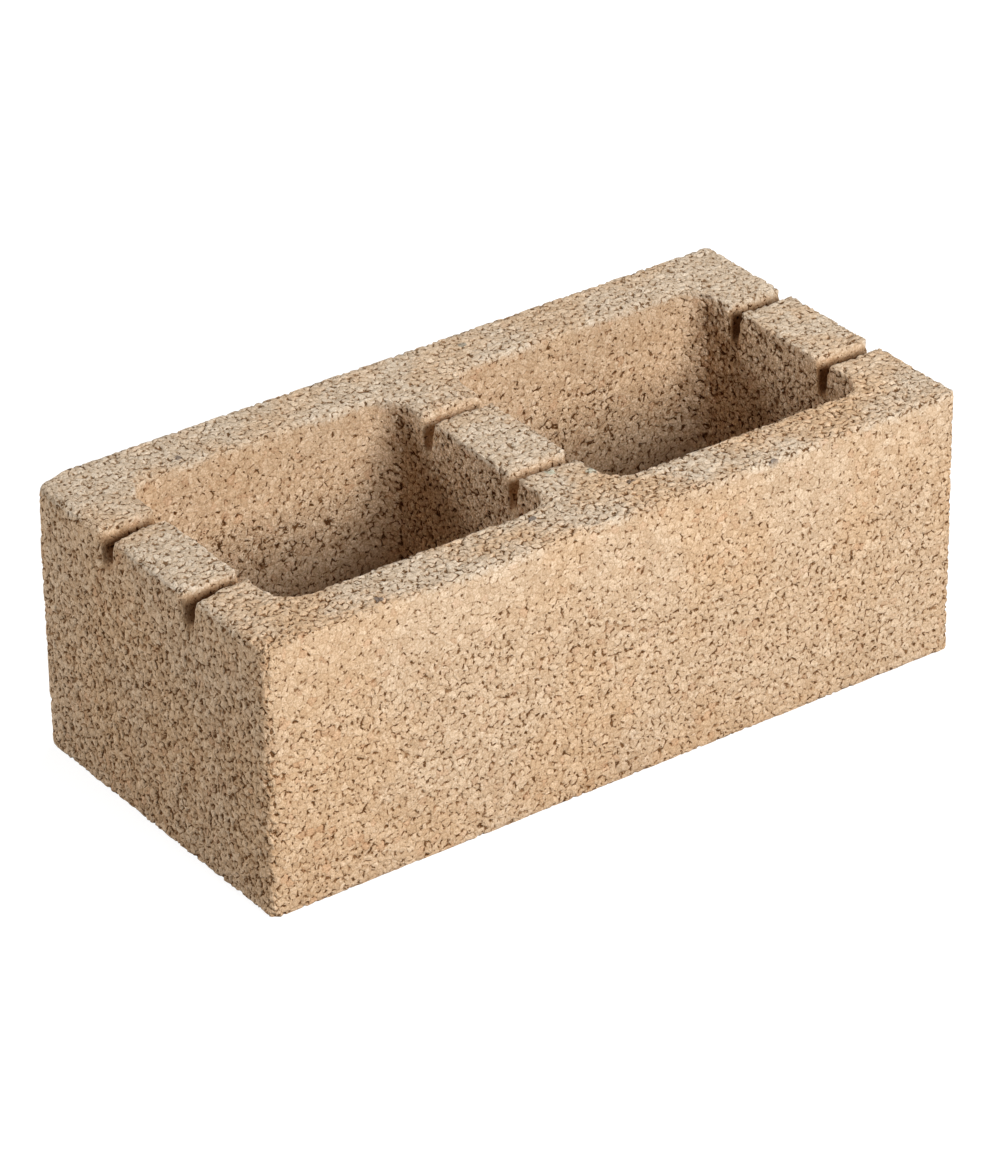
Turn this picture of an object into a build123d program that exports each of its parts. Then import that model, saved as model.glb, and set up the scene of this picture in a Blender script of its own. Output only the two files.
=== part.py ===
from build123d import *
import math
import os

# Hollow concrete block, pressed in one piece: two long face shells, joined by two end webs and a middle web.
# Two tapered cells run right through it. Each web is scored from above by two tapered slots, so that its
# middle can be knocked out where a wall needs a reinforced course.
# Units are millimetres. X runs along the wall, Y through it, and Z up from the bed that the block stands on.

# Overall size of the block
LENGTH = 390
WIDTH = 190
HEIGHT = 140

# Wall thicknesses, measured at the top, where the cells are widest
FACE_SHELL = 30
END_WEB = 31
MIDDLE_WEB = 34

# Cores that form the cells: each side leans in towards the bottom, so that the mould can lift off
CORE_CORNER_RADIUS = 14
CORE_NARROWING = 3

# Scoring slots, pressed into all three webs in two straight lines
SLOT_SPACING = 67
SLOT_MOUTH = 9
SLOT_ROOT = 4.5
SLOT_DEPTH = 18
SLOT_ROOT_RADIUS = 1.5

# Edges as they leave the mould: worn round at the top, crisp against the pallet
CORNER_RADIUS = 3
TOP_EDGE_RADIUS = 2
BOTTOM_EDGE_RADIUS = 0.8

# How far a cutting solid runs past the block
OVERRUN = 5

cell_length = (LENGTH - 2 * END_WEB - MIDDLE_WEB) / 2
cell_width = WIDTH - 2 * FACE_SHELL
cell_offset = (MIDDLE_WEB + cell_length) / 2
core_draft = math.degrees(math.atan(CORE_NARROWING / HEIGHT))
slot_slope = (SLOT_MOUTH - SLOT_ROOT) / 2 / SLOT_DEPTH


def outer_block():
    """The block before its cores and slots: the mould box with its corner radius."""
    plan = RectangleRounded(LENGTH, WIDTH, CORNER_RADIUS)
    return extrude(plan, amount=HEIGHT)


def core(offset):
    """One tapered core, hung from the top face at this distance along the block."""
    mouth = RectangleRounded(cell_length, cell_width, CORE_CORNER_RADIUS)
    top = Plane.XY.offset(HEIGHT) * Pos(offset, 0) * mouth
    return extrude(top, amount=-(HEIGHT + OVERRUN), taper=core_draft)


def scoring_blade(offset):
    """The tapered blade that scores all three webs in one line, at this distance across the block."""
    half_root = SLOT_ROOT / 2
    half_top = half_root + slot_slope * (SLOT_DEPTH + OVERRUN)
    outline = Polyline(
        (-half_root, -SLOT_DEPTH),
        (half_root, -SLOT_DEPTH),
        (half_top, OVERRUN),
        (-half_top, OVERRUN),
        close=True,
    )
    section = make_face(outline)
    root_corners = section.vertices().group_by(Axis.Y)[0]
    section = fillet(root_corners, SLOT_ROOT_RADIUS)
    end = Plane(origin=(-LENGTH / 2 - OVERRUN, offset, HEIGHT), x_dir=(0, 1, 0), z_dir=(1, 0, 0))
    return extrude(end * section, amount=LENGTH + 2 * OVERRUN)


def worn_edges(block):
    """Rounds every edge of the top bed, with its rims and slots, and breaks the edges of the bottom bed."""
    top_bed = block.faces().filter_by(Axis.Z).group_by(Axis.Z)[-1]
    block = fillet(top_bed.edges(), TOP_EDGE_RADIUS)
    bottom_bed = block.faces().filter_by(Axis.Z).group_by(Axis.Z)[0]
    return fillet(bottom_bed.edges(), BOTTOM_EDGE_RADIUS)


def concrete_block():
    """The whole block, as one solid."""
    cores = [core(side * cell_offset) for side in (-1, 1)]
    blades = [scoring_blade(side * SLOT_SPACING / 2) for side in (-1, 1)]
    return worn_edges(outer_block() - cores - blades)


block = concrete_block()
block.label = "block"
os.makedirs("parts", exist_ok=True)
export_step(block, "parts/block.step")
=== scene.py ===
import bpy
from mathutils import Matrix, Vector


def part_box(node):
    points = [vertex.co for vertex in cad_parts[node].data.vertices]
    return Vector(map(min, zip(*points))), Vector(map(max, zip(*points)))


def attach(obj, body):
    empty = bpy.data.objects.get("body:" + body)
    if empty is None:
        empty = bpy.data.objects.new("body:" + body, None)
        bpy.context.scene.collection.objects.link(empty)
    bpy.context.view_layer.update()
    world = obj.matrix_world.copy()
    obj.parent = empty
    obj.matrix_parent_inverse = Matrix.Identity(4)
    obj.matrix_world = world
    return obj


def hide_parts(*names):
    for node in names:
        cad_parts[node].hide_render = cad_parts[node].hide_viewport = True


bl_info = {
    "name": "Concrete Block",
    "version": (1, 0, 0),
    "blender": (4, 5, 0),
    "location": "View3D > Sidebar > Block",
    "description": "Models a hollow concrete block, with its grain, pores and worn edges, on a plain stage",
    "category": "Object",
}

import math

import bmesh
import bpy
from bpy.props import FloatProperty, FloatVectorProperty, IntProperty, PointerProperty
from mathutils import Color, Matrix, Vector

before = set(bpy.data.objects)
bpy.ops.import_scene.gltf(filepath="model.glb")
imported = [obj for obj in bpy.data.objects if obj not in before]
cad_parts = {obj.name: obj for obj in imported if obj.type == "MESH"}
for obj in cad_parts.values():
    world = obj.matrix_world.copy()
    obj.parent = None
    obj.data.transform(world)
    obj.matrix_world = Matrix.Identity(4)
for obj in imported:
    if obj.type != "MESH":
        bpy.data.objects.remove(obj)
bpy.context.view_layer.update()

# Names that the frame gives
CAD_NODE = "block"
BODY = "root"

# The attribute that keeps each point's place before the grain was raised
CAST_PLACE = "cast_place"

# The attribute that keeps how rough each point is, whether it is on the top bed, and how much painted shade
# it gets down in a slot
CAST_REGION = "cast_region"

block_low, block_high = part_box(CAD_NODE)
block_size = block_high - block_low
MM = 0.001

# How near to straight up or down a direction has to be to count as that
NEARLY = 0.9

WHITE = (1, 1, 1, 1)

# The stage: the floor's width in metres, and the camera's angles in degrees and lengths in millimetres
FLOOR_WIDTH = 12
CAMERA_AZIMUTH = -35.39
CAMERA_ELEVATION = 30.24
CAMERA_ROLL = 0.95
CAMERA_AIM = (-2.9, -2.9, 63.1)
CAMERA_DISTANCE = 2605.7
CAMERA_LENS = 171.7
CAMERA_SENSOR = 36


def length(name, description, default):
    """A length in metres that a user can set."""
    return FloatProperty(name=name, description=description, default=default, unit="LENGTH", precision=4)


def colour(name, description, default):
    """A colour as it shows on the screen, which a user can set."""
    return FloatVectorProperty(name=name, description=description, default=default, subtype="COLOR_GAMMA",
                               size=3, min=0, max=1)


class BlockSizes(bpy.types.PropertyGroup):
    """Sizes of the block and of the grain in its concrete."""

    face_shell: length("Face shell", "Thickness of a long wall at the top", 30 * MM)
    end_web: length("End web", "Thickness of an end wall at the top", 31 * MM)
    middle_web: length("Middle web", "Thickness of the wall between the cells at the top", 34 * MM)
    core_corner: length("Cell corner", "Radius of a cell's upright corners at the top", 14 * MM)
    core_narrowing: length("Cell narrowing", "How far each cell wall leans in by the bottom", 3 * MM)
    slot_spacing: length("Slot spacing", "Distance between the two lines of scoring slots", 67 * MM)
    slot_mouth: length("Slot mouth", "Width of a scoring slot at the top", 9 * MM)
    slot_root: length("Slot root", "Width of a scoring slot at the bottom", 4.5 * MM)
    slot_depth: length("Slot depth", "Depth of a scoring slot", 18 * MM)
    slot_root_round: length("Slot root radius", "Radius along the bottom of a scoring slot", 1.5 * MM)
    corner_round: length("Corner radius", "Radius of the block's upright corners", 3 * MM)
    worn_corner_round: length("Worn corner radius", "Radius of the corner that is worn most", 7 * MM)
    rim_round: length("Rim radius", "Radius of the outer top edges that are not worn", 2 * MM)
    worn_end_round: length("Worn end radius", "Radius of the top edge of the worn end", 4.5 * MM)
    bottom_round: length("Bottom radius", "Radius of the bottom edges", 1 * MM)
    overrun: length("Overrun", "How far a cutting shape runs past the block", 8 * MM)
    fineness: length("Fineness", "Spacing of the points that the grain is raised on", 1.1 * MM)
    triangles: IntProperty(name="Triangles", description="Triangles left in the block", default=196000)


class ConcreteColours(bpy.types.PropertyGroup):
    """Colours of the concrete, as they show on the screen."""

    cream: colour("Cream", "Paste-coated grain in the light", (0.885, 0.765, 0.635))
    tan: colour("Tan", "Warmer grain", (0.82, 0.68, 0.53))
    grey: colour("Grey", "Dusty grain on the top bed", (0.85, 0.77, 0.675))
    rust: colour("Rust", "Grain stained by iron", (0.78, 0.57, 0.40))
    stone: colour("Stone", "The few bare dark stones", (0.46, 0.42, 0.40))
    pale_stone: colour("Pale stone", "The few bare pale stones", (0.80, 0.80, 0.72))
    # The gap colour is painted shade: the concrete darkens towards it in the gaps, pores and slots, and a
    # little with each grain's own tone
    gap: colour("Gap", "The deep gaps between grains", (0.34, 0.21, 0.11))


class Wire:
    """A node's output that can stand in Python sums, where each sign adds a Math node."""

    def __init__(self, recipe, socket):
        self.recipe = recipe
        self.socket = socket

    def _sum(self, operation, first, second):
        return self.recipe.node("ShaderNodeMath", {"operation": operation}, {0: first, 1: second})

    def __add__(self, other):
        return self._sum("ADD", self, other)

    def __radd__(self, other):
        return self._sum("ADD", other, self)

    def __sub__(self, other):
        return self._sum("SUBTRACT", self, other)

    def __rsub__(self, other):
        return self._sum("SUBTRACT", other, self)

    def __mul__(self, other):
        return self._sum("MULTIPLY", self, other)

    def __rmul__(self, other):
        return self._sum("MULTIPLY", other, self)

    def __truediv__(self, other):
        return self._sum("DIVIDE", self, other)

    def __abs__(self):
        return self._sum("ABSOLUTE", self, 0)

    def beside(self, output):
        """Another output of the same node."""
        return Wire(self.recipe, self.socket.node.outputs[output])

    def largest(self, other):
        """The larger of this value and another."""
        return self._sum("MAXIMUM", self, other)


class Recipe:
    """Adds nodes to a tree: a material's, a modifier's or the world's."""

    def __init__(self, tree):
        self.tree = tree

    def node(self, kind, settings=None, values=None, output=0):
        """Adds a node: its type, settings, sockets' values or wires, and the wanted output."""
        made = self.tree.nodes.new(kind)
        for name, value in (settings or {}).items():
            setattr(made, name, value)
        for name, value in (values or {}).items():
            socket = self._socket(made.inputs, name)
            if isinstance(value, Wire):
                self.tree.links.new(value.socket, socket)
            else:
                socket.default_value = value
        return Wire(self, self._socket(made.outputs, output)) if made.outputs else made

    @staticmethod
    def _socket(sockets, name):
        if isinstance(name, int):
            return sockets[name]
        for socket in sockets:
            if socket.identifier == name:
                return socket
        return sockets[name]

    def ramp(self, value, low, high):
        """A smooth step: 0 at low and 1 at high, which may be the smaller of the two."""
        settings = {"interpolation_type": "SMOOTHSTEP"}
        values = {"Value": value, "From Min": low, "From Max": high}
        return self.node("ShaderNodeMapRange", settings, values)

    def vector(self, operation, first, second=(0, 0, 0), factor=None):
        """Vector maths on two vectors, or on one and a factor."""
        values = {0: first, 1: second}
        if factor is not None:
            values = {0: first, "Scale": factor}
        return self.node("ShaderNodeVectorMath", {"operation": operation}, values)

    def noise(self, place, size, detail=2, roughness=0.5, output="Fac"):
        """Soft noise with lumps about this many millimetres across."""
        values = {"Vector": place, "Scale": 1 / size, "Detail": detail, "Roughness": roughness}
        return self.node("ShaderNodeTexNoise", None, values, output)

    def cells(self, place, size, feature="F1"):
        """Packed cells about this many millimetres across."""
        values = {"Vector": place, "Scale": 1 / size, "Randomness": 1}
        return self.node("ShaderNodeTexVoronoi", {"feature": feature}, values, "Distance")

    def blend(self, factor, first, second, kind="MIX"):
        """Mixes two colours."""
        settings = {"data_type": "RGBA", "blend_type": kind, "clamp_factor": True}
        values = {"Factor_Float": factor, "A_Color": first, "B_Color": second}
        return self.node("ShaderNodeMix", settings, values, "Result_Color")

    def apart(self, vector):
        """The three parts of a vector."""
        first = self.node("ShaderNodeSeparateXYZ", None, {0: vector})
        outputs = first.socket.node.outputs
        return [Wire(self, outputs[index]) for index in range(3)]


def blank_recipe(owner):
    """A recipe on the emptied node tree of a material or of the world."""
    owner.use_nodes = True
    owner.node_tree.nodes.clear()
    return Recipe(owner.node_tree)


def regions(recipe, place, sizes):
    """How rough a place in millimetres is, how far on the top bed and on the outside, and how much painted
    shade it gets down in a slot.
    """
    length_mm, width_mm, height_mm = block_size / MM
    slot_depth = sizes.slot_depth / MM
    slot_floor = height_mm - slot_depth
    root_half = sizes.slot_root / 2 / MM
    slot_spread = sizes.slot_mouth / 2 / MM - root_half
    x, y, z = recipe.apart(place)
    wander = (recipe.noise(place, size=38) - 0.5) * 45
    ragged = (recipe.noise(place, size=6) - 0.5) * 5
    bed = recipe.ramp(z + ragged, height_mm - 3.2, height_mm - 1)
    low = recipe.ramp(z + wander, height_mm - 8, height_mm - 60)
    beyond = (abs(x) - length_mm / 2).largest(abs(y) - width_mm / 2)
    outside = recipe.ramp(beyond, -9, -5)
    beside_slot = abs(abs(y) - sizes.slot_spacing / 2 / MM)
    slot_half = root_half + slot_spread * (z - slot_floor) / slot_depth
    within_sides = recipe.ramp(beside_slot - slot_half, 0.8, 0.1)
    in_slot = within_sides * recipe.ramp(z, slot_floor - 1.5, slot_floor - 0.5)
    end = recipe.ramp(abs(x), length_mm / 2 - 6, length_mm / 2 - 3)
    # Painted shade down in the slots below their mouths: weaker at the block's ends, and weakest at the
    # middle web
    below_mouth = in_slot * recipe.ramp(z, height_mm - 3, height_mm - 8)
    slot = below_mouth * (1 - 0.6 * end) * recipe.ramp(abs(x), -15, 70)
    half_cell = width_mm / 2 - sizes.face_shell / MM
    long_wall = recipe.ramp(abs(y), half_cell - 10, half_cell - 5)
    front_shell = recipe.ramp(y, 15 - half_cell, -half_cell)
    web = (1 - outside) * (0.9 + 0.1 * low) * (1 - (0.65 - 0.3 * low) * long_wall) * (1 - bed)
    top = bed * (0.8 + 0.1 * front_shell)
    end_face = end * (0.87 + 0.13 * low)
    openness = (0.33 + 0.35 * low).largest(top).largest(end_face).largest(web)
    rough = openness * (1 - 0.6 * in_slot * (1 - bed))
    return rough, bed, slot, outside


class Grain:
    """The grains, gaps and pores of the concrete at a place given in millimetres.

    The relief and the material both read it, so that the painted shade of the gaps lies in the gaps that
    the relief cuts.
    """

    def __init__(self, recipe, place, rough):
        # Grains, with outlines made uneven
        self.stir = recipe.noise(place, size=2.6, detail=2, roughness=0.6, output="Color")
        stirred = recipe.vector("ADD", place, recipe.vector("SCALE", self.stir, factor=3.0))
        grain_size = 3.7
        self.to_edge = recipe.cells(stirred, grain_size, "DISTANCE_TO_EDGE") * grain_size
        self.tint = recipe.cells(stirred, grain_size).beside("Color")

        # The gaps that the paste left between some of them
        gap_noise = recipe.noise(place, size=2.5, detail=1.5)
        closed = 0.655 - 0.16 * rough
        self.open = recipe.ramp(gap_noise, closed - 0.05, closed + 0.09)
        self.swell = 0.5 - gap_noise

        # Small round pores in the paste, and small lumps
        pore_size = 2.3
        pores = recipe.cells(place, pore_size)
        chance = recipe.apart(pores.beside("Color"))[0]
        reach = recipe.ramp(chance, 0.55, 1.0) * 0.75
        self.pore = recipe.ramp(pores * pore_size, reach, reach * 0.3) * recipe.ramp(chance, 0.55, 0.65)
        self.lump = recipe.ramp(pores * pore_size, 1.7, 0.2)


def select_edges(test):
    """Selects the edges of the mesh in edit mode whose two ends pass a test."""
    mesh = bpy.context.edit_object.data
    edited = bmesh.from_edit_mesh(mesh)
    bpy.ops.mesh.select_mode(type="EDGE")
    bpy.ops.mesh.select_all(action="DESELECT")
    for edge in edited.edges:
        first, second = edge.verts
        edge.select_set(test(first.co, second.co))
    bmesh.update_edit_mesh(mesh)


def select_faces(test):
    """Selects the faces of the mesh in edit mode that pass a test."""
    mesh = bpy.context.edit_object.data
    edited = bmesh.from_edit_mesh(mesh)
    bpy.ops.mesh.select_mode(type="FACE")
    bpy.ops.mesh.select_all(action="DESELECT")
    for face in edited.faces:
        face.select_set(test(face))
    bmesh.update_edit_mesh(mesh)


def round_edges(radius, segments, test):
    """Rounds the edges of the mesh in edit mode whose two ends pass a test."""
    select_edges(test)
    bpy.ops.mesh.bevel(offset=radius, segments=segments, affect="EDGES", clamp_overlap=True)


def add_box(name, low, high):
    """Adds a box between two corners, and leaves it active."""
    bpy.ops.object.select_all(action="DESELECT")
    bpy.ops.mesh.primitive_cube_add(size=1, location=(low + high) / 2)
    bpy.ops.transform.resize(value=high - low)
    bpy.ops.object.transform_apply(location=True, rotation=True, scale=True)
    box = bpy.context.active_object
    box.name = name
    return box


def apply_modifier(piece, modifier):
    """Applies a modifier to a piece."""
    bpy.ops.object.select_all(action="DESELECT")
    piece.select_set(True)
    bpy.context.view_layer.objects.active = piece
    bpy.ops.object.modifier_apply(modifier=modifier.name)


def upright(first, second):
    """Whether an edge stands upright, or nearly."""
    return abs((first - second).normalized().z) > NEARLY


def faces_down(face):
    """Whether a face looks down, or nearly."""
    return face.normal.z < -NEARLY


def add_mould_box(sizes):
    """The block before its cells and slots, with its corners and edges rounded as far as they are worn."""
    near = sizes.bottom_round / 2
    top, left, back = block_high.z, block_low.x, block_high.y

    def worn_corner(first, second):
        return upright(first, second) and first.x < left + near and first.y > back - near

    def other_corner(first, second):
        full_height = (first - second).length > block_size.z / 2
        return upright(first, second) and full_height and not (first.x < 0 and first.y > 0)

    def bottom_edge(first, second):
        return max(first.z, second.z) < near

    def on_top(first, second):
        return min(first.z, second.z) > top - near

    def worn_top_edge(first, second):
        return on_top(first, second) and max(first.x, second.x) < left + near

    def other_top_edge(first, second):
        along = max(abs(first.y), abs(second.y)) > back - near and abs(first.y - second.y) < near
        at_right = min(first.x, second.x) > block_high.x - near
        return on_top(first, second) and (along or at_right)

    box = add_box("concrete_block", block_low, block_high)
    bpy.ops.object.mode_set(mode="EDIT")
    round_edges(sizes.worn_corner_round, segments=5, test=worn_corner)
    round_edges(sizes.corner_round, segments=3, test=other_corner)
    round_edges(sizes.bottom_round, segments=2, test=bottom_edge)
    round_edges(sizes.worn_end_round, segments=4, test=worn_top_edge)
    round_edges(sizes.rim_round, segments=3, test=other_top_edge)
    bpy.ops.object.mode_set(mode="OBJECT")
    return box


def add_core(sizes, side):
    """The tapered core of one cell: side is -1 for the left one and 1 for the right one."""
    cell_length = (block_size.x - 2 * sizes.end_web - sizes.middle_web) / 2
    cell_width = block_size.y - 2 * sizes.face_shell
    middle = side * (sizes.middle_web + cell_length) / 2
    draft = sizes.core_narrowing / block_size.z
    mouth_growth = 2 * draft * sizes.overrun
    foot_loss = 2 * draft * (block_size.z + 2 * sizes.overrun)
    mouth = Vector((cell_length + mouth_growth, cell_width + mouth_growth, 0))
    low = Vector((middle, 0, block_low.z - sizes.overrun)) - mouth / 2
    high = Vector((middle, 0, block_high.z + sizes.overrun)) + mouth / 2
    core = add_box("core", low, high)
    bpy.ops.object.mode_set(mode="EDIT")
    select_faces(faces_down)
    shrink = ((mouth.x - foot_loss) / mouth.x, (mouth.y - foot_loss) / mouth.y, 1)
    bpy.ops.transform.resize(value=shrink, center_override=(middle, 0, low.z))
    round_edges(sizes.core_corner, segments=8, test=upright)
    bpy.ops.object.mode_set(mode="OBJECT")
    return core


def add_blade(sizes, side):
    """The tapered blade of one line of slots: side is -1 for the front one and 1 for the back one."""
    middle = side * sizes.slot_spacing / 2
    slope = (sizes.slot_mouth - sizes.slot_root) / sizes.slot_depth
    top_width = sizes.slot_mouth + slope * sizes.overrun
    reach = block_size.x / 2 + sizes.overrun
    root = block_high.z - sizes.slot_depth
    low = Vector((-reach, middle - top_width / 2, root))
    high = Vector((reach, middle + top_width / 2, block_high.z + sizes.overrun))
    near = sizes.slot_root_round / 2

    def root_edge(first, second):
        return max(first.z, second.z) < root + near and abs(first.x - second.x) > reach

    blade = add_box("blade", low, high)
    bpy.ops.object.mode_set(mode="EDIT")
    select_faces(faces_down)
    bpy.ops.transform.resize(value=(1, sizes.slot_root / top_width, 1), center_override=(0, middle, root))
    round_edges(sizes.slot_root_round, segments=3, test=root_edge)
    bpy.ops.object.mode_set(mode="OBJECT")
    return blade


def cut(piece, cutter):
    """Cuts one shape out of the piece, and removes that shape."""
    modifier = piece.modifiers.new("cut", "BOOLEAN")
    modifier.operation = "DIFFERENCE"
    modifier.solver = "EXACT"
    modifier.object = cutter
    apply_modifier(piece, modifier)
    bpy.data.objects.remove(cutter, do_unlink=True)


def relief_tree(sizes):
    """The node tree that wears the edges and raises the grain."""
    tree = bpy.data.node_groups.new("concrete_relief", "GeometryNodeTree")
    tree.interface.new_socket("Geometry", in_out="INPUT", socket_type="NodeSocketGeometry")
    tree.interface.new_socket("Geometry", in_out="OUTPUT", socket_type="NodeSocketGeometry")
    recipe = Recipe(tree)
    mesh = recipe.node("NodeGroupInput")
    position = recipe.node("GeometryNodeInputPosition")
    place = recipe.vector("SCALE", position, factor=1 / MM)
    normal = recipe.node("GeometryNodeInputNormal")
    rough, bed, slot, outside = regions(recipe, place, sizes)
    region = recipe.node("ShaderNodeCombineXYZ", None, {0: rough, 1: bed, 2: slot})
    grain = Grain(recipe, place, rough)

    # The undisturbed place and its region, for the material
    kept = mesh
    at_points = {"data_type": "FLOAT_VECTOR", "domain": "POINT"}
    for name, value in ((CAST_PLACE, position), (CAST_REGION, region)):
        kept = recipe.node("GeometryNodeStoreNamedAttribute", at_points,
                           {"Geometry": kept, "Name": name, "Value": value})

    # Worn edges: each point drawn towards its neighbours, more in some places than in others
    x, y, z = recipe.apart(place)
    length_mm, width_mm, height_mm = block_size / MM
    patchy = recipe.ramp(recipe.noise(place, size=16, detail=3), 0.35, 0.65)
    worn_end = recipe.ramp(x, 18 - length_mm / 2, 8 - length_mm / 2)
    worn_end = worn_end * recipe.ramp(z, height_mm - 34, height_mm - 20)
    worn_corner = recipe.ramp(x, 16 - length_mm / 2, 9 - length_mm / 2) * recipe.ramp(z, 12, 40) * 0.4
    worn_corner = worn_corner * recipe.ramp(y, 16 - width_mm / 2, 9 - width_mm / 2)
    rim = recipe.ramp(z, height_mm - 9, height_mm - 4) * (1 - outside)
    worn_most = (0.9 * worn_end).largest(worn_corner).largest(0.2 * rim * patchy)
    worn = position
    for rounds, wear in ((2, 0.3 + 0.7 * patchy), (45, worn_most)):
        drawn = recipe.node("GeometryNodeBlurAttribute", {"data_type": "FLOAT_VECTOR"},
                            {"Value": worn, "Iterations": rounds})
        worn = recipe.node("ShaderNodeMix", {"data_type": "VECTOR"},
                           {"Factor_Float": wear, "A_Vector": worn, "B_Vector": drawn}, "Result_Vector")

    # Grains stand up, gaps go in, the whole face waves a little, and no point goes below the floor
    dome = (recipe.ramp(grain.to_edge, 0, 1.4) - 1) * 0.2 + grain.swell * 0.6
    gap = recipe.ramp(grain.to_edge, 1.0, 0.1) * grain.open * 1.1
    wave = (recipe.noise(place, size=30) - 0.5) * 0.3
    wave = wave + (recipe.noise(place, size=7, detail=3) - 0.5) * 0.65
    height = (dome + wave) * rough - gap * (0.35 + 0.65 * rough)
    raised = recipe.vector("ADD", worn, recipe.vector("SCALE", normal, factor=height * MM))
    lowest = (2 * block_low.x, 2 * block_low.y, block_low.z)
    above_floor = recipe.vector("MAXIMUM", raised, lowest)
    shaped = recipe.node("GeometryNodeSetPosition", None, {"Geometry": kept, "Position": above_floor})
    recipe.node("NodeGroupOutput", None, {0: shaped})
    return tree


def finish_surface(piece, sizes):
    """Raises the grain on the piece, and thins its mesh to the wanted number of triangles."""
    remesh = piece.modifiers.new("even_mesh", "REMESH")
    remesh.mode = "VOXEL"
    remesh.voxel_size = sizes.fineness
    apply_modifier(piece, remesh)
    relief = piece.modifiers.new("relief", "NODES")
    relief.node_group = relief_tree(sizes)
    apply_modifier(piece, relief)
    made = sum(len(face.vertices) - 2 for face in piece.data.polygons)
    thin = piece.modifiers.new("thin", "DECIMATE")
    thin.ratio = sizes.triangles / made
    thin.use_collapse_triangulate = True
    apply_modifier(piece, thin)
    bpy.ops.object.shade_smooth()
    print("block triangles", made, "thinned to", len(piece.data.polygons))


def linear(display_colour):
    """A colour for a node's socket, from the way it shows on the screen."""
    made = Color(display_colour).from_srgb_to_scene_linear()
    return (made.r, made.g, made.b, 1)


def concrete_material(colours):
    """Open-grained concrete: cream and tan grains, painted shade in the gaps, pores and slots, and a grey
    dusty bed.
    """
    material = bpy.data.materials.new("concrete_grain")
    recipe = blank_recipe(material)
    kept_place = recipe.node("ShaderNodeAttribute", {"attribute_name": CAST_PLACE}, None, "Vector")
    region = recipe.node("ShaderNodeAttribute", {"attribute_name": CAST_REGION}, None, "Vector")
    rough, bed, slot = recipe.apart(region)
    place = recipe.vector("SCALE", kept_place, factor=1 / MM)
    grain = Grain(recipe, place, rough)
    chance, warmth, oddness = recipe.apart(grain.tint)
    sand = recipe.noise(place, size=1.0, detail=2, roughness=0.6) - 0.5
    blotch = recipe.noise(place, size=24, detail=4, roughness=0.6)

    # Inside the cells the long walls are cleaner, and the rough webs are greyer, with darker painted shade
    # in their gaps and a stronger speckle
    x, y = recipe.apart(place)[:2]
    half_length, half_width = block_size.x / 2 / MM, block_size.y / 2 / MM
    inside = recipe.ramp(abs(x), half_length - 10, half_length - 18) * (1 - bed)
    inside = inside * recipe.ramp(abs(y), half_width - 10, half_width - 18)
    rough_web = inside * rough

    # Paste-coated grains, each with a tint of its own
    warm = 0.1 + 0.5 * warmth + 1.2 * (blotch - 0.3) + 0.1 * inside
    grain_colour = recipe.blend(warm, linear(colours.cream), linear(colours.tan))
    grain_colour = recipe.blend(recipe.ramp(oddness, 0.88, 1.0) * 0.45, grain_colour, linear(colours.rust))
    dust = recipe.ramp(recipe.noise(place, size=60) + 0.5 * blotch, 0.62, 0.86)
    front_bed = bed * recipe.ramp(y, -50, -65)
    bed_dust = bed * (0.45 + 0.7 * dust - 0.35 * front_bed)
    side_dust = (0.3 * dust + 0.22 * (1 - rough)) * (1 - 0.5 * inside)
    dusty = bed_dust + side_dust + 0.25 * rough_web
    grain_colour = recipe.blend(dusty, grain_colour, linear(colours.grey))

    # A few larger stones that lie bare, most of them dark
    stone_size = 8
    stone_place = recipe.vector("ADD", place, recipe.vector("SCALE", grain.stir, factor=2.5))
    stones = recipe.cells(stone_place, stone_size)
    stone_chance, stone_tone = recipe.apart(stones.beside("Color"))[:2]
    chosen = recipe.ramp(stones * stone_size, 3.0, 2.4) * recipe.ramp(stone_chance, 0.965, 0.97)
    bare = chosen * (0.1 + 0.7 * bed)
    pale = recipe.ramp(stone_tone, 0.6, 0.7)
    stone_colour = recipe.blend(pale, linear(colours.stone), linear(colours.pale_stone))
    grain_colour = recipe.blend(bare, grain_colour, stone_colour)

    # Painted shade: dark in the gaps between the grains, more in some patches than others, and in the pores
    # of the paste; soft beside the gaps, faint round every grain, and down in the slots
    depth = 0.4 + 0.6 * recipe.ramp(recipe.noise(place, size=4), 0.35, 0.62)
    narrow = recipe.ramp(grain.to_edge, 0.45, 0.1)
    wide = recipe.ramp(grain.to_edge, 0.8, 0.2)
    strength = 1 - 0.1 * bed + 0.1 * front_bed + 0.3 * rough_web
    gap = (0.58 * narrow + 0.2 * wide) * grain.open * depth * strength
    gap = gap.largest(0.07 * narrow)
    hollow = gap.largest(grain.pore * (0.3 + 0.4 * rough))
    sandy = 0.5 + (0.9 * rough - 0.3) * inside - 0.1 * bed
    # The grains' own tone and a fine speckle add to it; the speckle is lighter where the fine relief rises,
    # so it is partly painted shade. The sum tints the grain towards the gap colour
    painted_shade_and_tone = hollow + 0.1 * (0.6 - chance) - sandy * sand + 0.45 * slot
    lit = linear(colours.cream)
    tint = [deep / full for deep, full in zip(linear(colours.gap), lit)]
    shade = recipe.node("ShaderNodeGamma", None, {"Color": tint, "Gamma": painted_shade_and_tone})
    base = recipe.blend(1.0, grain_colour, shade, "MULTIPLY")

    # Fine relief
    dome = recipe.ramp(grain.to_edge, 0, 1.1)
    swollen = 0.4 * dome + 0.4 * grain.lump + 1.6 * grain.swell
    fine_height = swollen * (0.1 + 0.85 * rough) - 1.1 * hollow + 0.7 * sand
    bump = recipe.node("ShaderNodeBump", None, {"Strength": 0.8, "Distance": MM, "Height": fine_height})
    surface = recipe.node("ShaderNodeBsdfPrincipled", None, {
        "Base Color": base,
        "Roughness": 0.9 + 0.1 * sand,
        "Normal": bump,
    })
    surface.socket.node.inputs["Specular IOR Level"].default_value = 0.06
    recipe.node("ShaderNodeOutputMaterial", None, {"Surface": surface})
    return material


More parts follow.
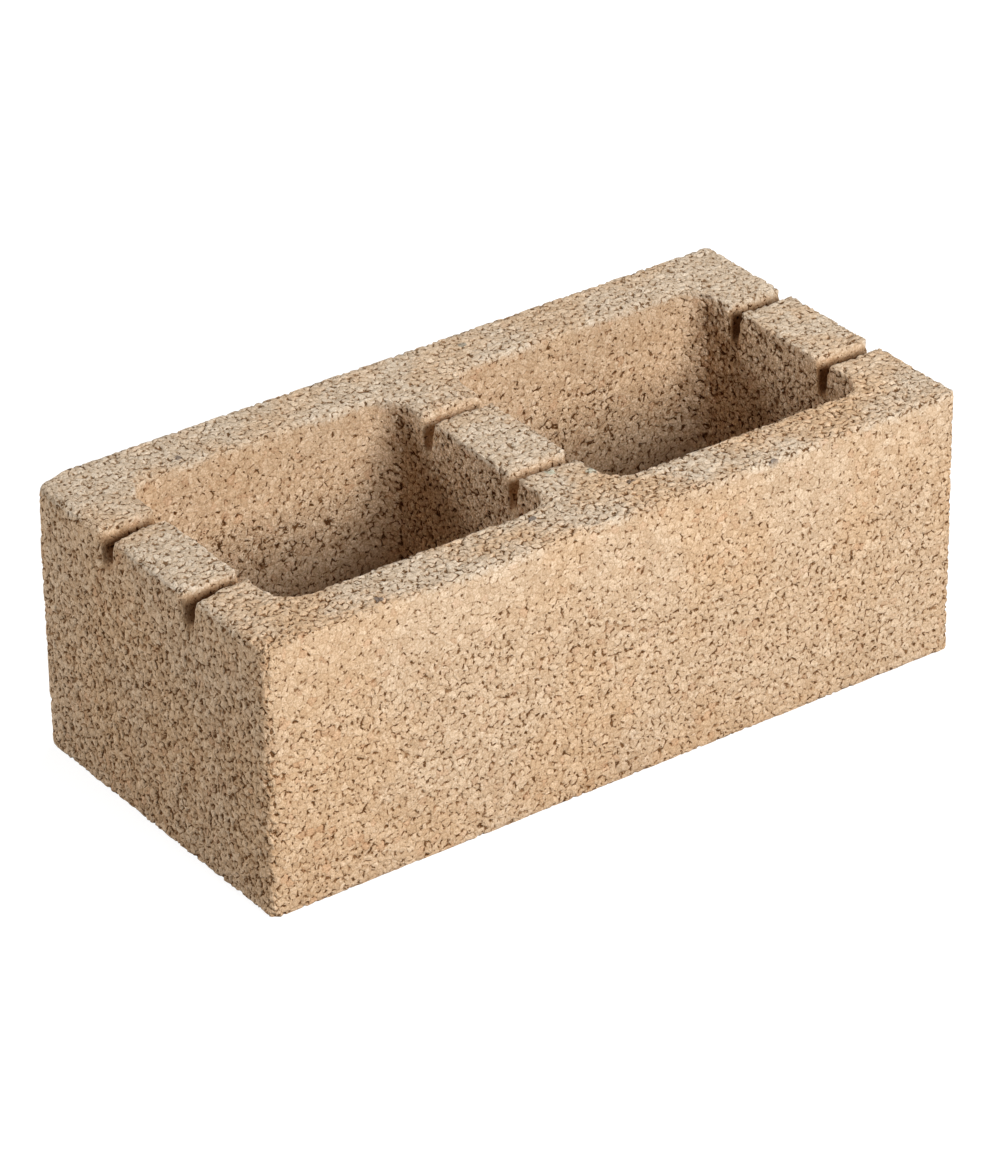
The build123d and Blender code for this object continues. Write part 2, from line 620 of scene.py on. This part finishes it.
class BLOCK_OT_cast(bpy.types.Operator):
    """Models the block: its form, its cells and slots, and the grain of its concrete"""

    bl_idname = "block.cast"
    bl_label = "Cast block"

    def execute(self, context):
        sizes = context.scene.block_sizes
        colours = context.scene.concrete_colours
        piece = add_mould_box(sizes)
        for side in (-1, 1):
            cut(piece, add_core(sizes, side))
        for side in (-1, 1):
            cut(piece, add_blade(sizes, side))
        finish_surface(piece, sizes)
        piece.data.materials.clear()
        piece.data.materials.append(concrete_material(colours))
        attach(piece, BODY)
        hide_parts(CAD_NODE)
        return {"FINISHED"}


def seen_directly(recipe):
    """1 for what is seen straight, in a reflection or through glass, and 0 for what only gives light."""
    straight = recipe.node("ShaderNodeLightPath", None, None, "Is Camera Ray")
    reflected = straight.beside("Is Glossy Ray")
    through_glass = straight.beside("Is Transmission Ray")
    return straight.largest(reflected).largest(through_glass)


def add_floor():
    """A wide pale floor, which keeps the block's shadow."""
    bpy.ops.object.select_all(action="DESELECT")
    bpy.ops.mesh.primitive_plane_add(size=FLOOR_WIDTH, location=(0, 0, block_low.z))
    floor = bpy.context.active_object
    floor.name = "floor"
    material = bpy.data.materials.new("pale_floor")
    recipe = blank_recipe(material)
    matt = recipe.node("ShaderNodeBsdfDiffuse", None, {"Color": (0.5, 0.5, 0.5, 1)})
    pale = recipe.node("ShaderNodeBsdfDiffuse", None, {"Color": (0.95, 0.95, 0.95, 1)})
    white = recipe.node("ShaderNodeEmission", None, {"Color": WHITE, "Strength": 1.3})
    shown = recipe.node("ShaderNodeMixShader", None, {0: 0.7, 1: pale, 2: white})
    mixed = recipe.node("ShaderNodeMixShader", None, {0: seen_directly(recipe), 1: matt, 2: shown})
    recipe.node("ShaderNodeOutputMaterial", None, {"Surface": mixed})
    floor.data.materials.append(material)


def add_world():
    """Even white surroundings: a plain white background that gives only a faint light."""
    world = bpy.data.worlds.new("studio")
    bpy.context.scene.world = world
    recipe = blank_recipe(world)
    glow = recipe.node("ShaderNodeBackground", None, {"Color": WHITE, "Strength": 0.04})
    white = recipe.node("ShaderNodeBackground", None, {"Color": WHITE, "Strength": 1})
    mixed = recipe.node("ShaderNodeMixShader", None, {0: seen_directly(recipe), 1: glow, 2: white})
    recipe.node("ShaderNodeOutputWorld", None, {"Surface": mixed})


def add_lamp(name, direction, distance, size, power):
    """A soft square lamp in this direction from the block, aimed at its middle."""
    middle = (block_low + block_high) / 2
    away = Vector(direction).normalized()
    bpy.ops.object.light_add(type="AREA", location=middle + away * distance)
    lamp = bpy.context.active_object
    lamp.name = name
    lamp.rotation_euler = away.to_track_quat("Z", "Y").to_euler()
    lamp.data.shape = "SQUARE"
    lamp.data.size = size
    lamp.data.energy = power


def add_camera():
    """The camera where the block is seen as in the photograph, from its front left and above."""
    azimuth = math.radians(CAMERA_AZIMUTH)
    elevation = math.radians(CAMERA_ELEVATION)
    roll = math.radians(CAMERA_ROLL)
    aim = Vector(CAMERA_AIM) * MM
    distance = CAMERA_DISTANCE * MM
    level = math.cos(elevation)
    back = Vector((math.sin(azimuth) * level, -math.cos(azimuth) * level, math.sin(elevation)))
    level_right = Vector((math.cos(azimuth), math.sin(azimuth), 0))
    level_up = back.cross(level_right)
    right = level_right * math.cos(roll) - level_up * math.sin(roll)
    up = level_up * math.cos(roll) + level_right * math.sin(roll)
    bpy.ops.object.camera_add(location=aim + back * distance)
    camera = bpy.context.active_object
    camera.rotation_euler = Matrix((right, up, back)).transposed().to_euler()
    camera.data.sensor_width = CAMERA_SENSOR
    camera.data.lens = CAMERA_LENS
    bpy.context.scene.camera = camera


class BLOCK_OT_stage(bpy.types.Operator):
    """Sets the plain stage: a pale floor, soft lamps, white surroundings and the camera"""

    bl_idname = "block.stage"
    bl_label = "Set stage"

    def execute(self, context):
        add_floor()
        add_world()
        add_lamp("key_lamp", (0.08, -0.88, 0.46), distance=2.0, size=0.7, power=41)
        add_lamp("side_lamp", (-0.75, 0.57, 0.36), distance=2.2, size=0.4, power=12)
        add_lamp("low_lamp", (-0.85, 0.30, 0.06), distance=2.2, size=0.8, power=13)
        add_lamp("top_lamp", (0.40, 0.22, 1.0), distance=2.0, size=0.8, power=20)
        add_camera()
        context.scene.view_settings.view_transform = "Standard"
        return {"FINISHED"}


class BLOCK_PT_panel(bpy.types.Panel):
    """Lists the block's sizes, its colours and the steps that make it"""

    bl_label = "Concrete block"
    bl_idname = "BLOCK_PT_panel"
    bl_space_type = "VIEW_3D"
    bl_region_type = "UI"
    bl_category = "Block"

    def draw(self, context):
        for group in (context.scene.block_sizes, context.scene.concrete_colours):
            column = self.layout.column()
            for name in group.bl_rna.properties.keys():
                if name not in ("rna_type", "name"):
                    column.prop(group, name)
        self.layout.operator(BLOCK_OT_cast.bl_idname)
        self.layout.operator(BLOCK_OT_stage.bl_idname)


CLASSES = (BlockSizes, ConcreteColours, BLOCK_OT_cast, BLOCK_OT_stage, BLOCK_PT_panel)


def register():
    for made in CLASSES:
        bpy.utils.register_class(made)
    bpy.types.Scene.block_sizes = PointerProperty(type=BlockSizes)
    bpy.types.Scene.concrete_colours = PointerProperty(type=ConcreteColours)


def unregister():
    del bpy.types.Scene.concrete_colours
    del bpy.types.Scene.block_sizes
    for made in reversed(CLASSES):
        bpy.utils.unregister_class(made)


def main():
    register()
    bpy.ops.block.cast()
    bpy.ops.block.stage()


if __name__ == "__main__":
    main()
